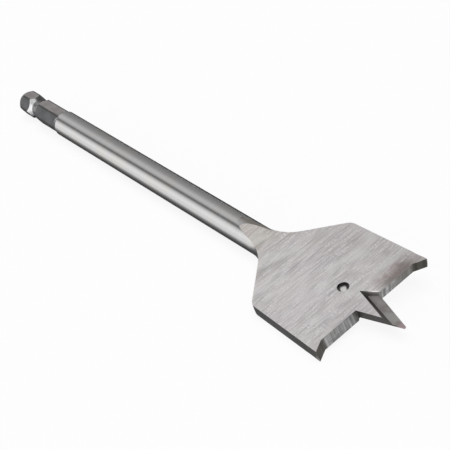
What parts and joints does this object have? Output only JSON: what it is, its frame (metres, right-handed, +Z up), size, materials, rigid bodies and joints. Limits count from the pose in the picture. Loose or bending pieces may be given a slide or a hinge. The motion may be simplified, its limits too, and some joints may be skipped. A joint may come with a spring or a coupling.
{
  "type": "spade drill bit",
  "caption": "Flat steel wood bit with a pointed paddle blade, outer spurs and ground lips, on a round shank that ends in a grooved hex drive.",
  "frame": {"origin": "on the surface the bit lies on, under its axis, at the middle of its length", "axes": "+X along the axis toward the tip of the point, +Y toward the side of the blade that lies higher, +Z up"},
  "size_m": [0.16, 0.035, 0.0075],
  "materials": {
    "steel": "bright steel, ground across the blade and polished on the shank"
  },
  "bodies": {
    "root": {"spade_bit": "steel"}
  },
  "joints": []
}
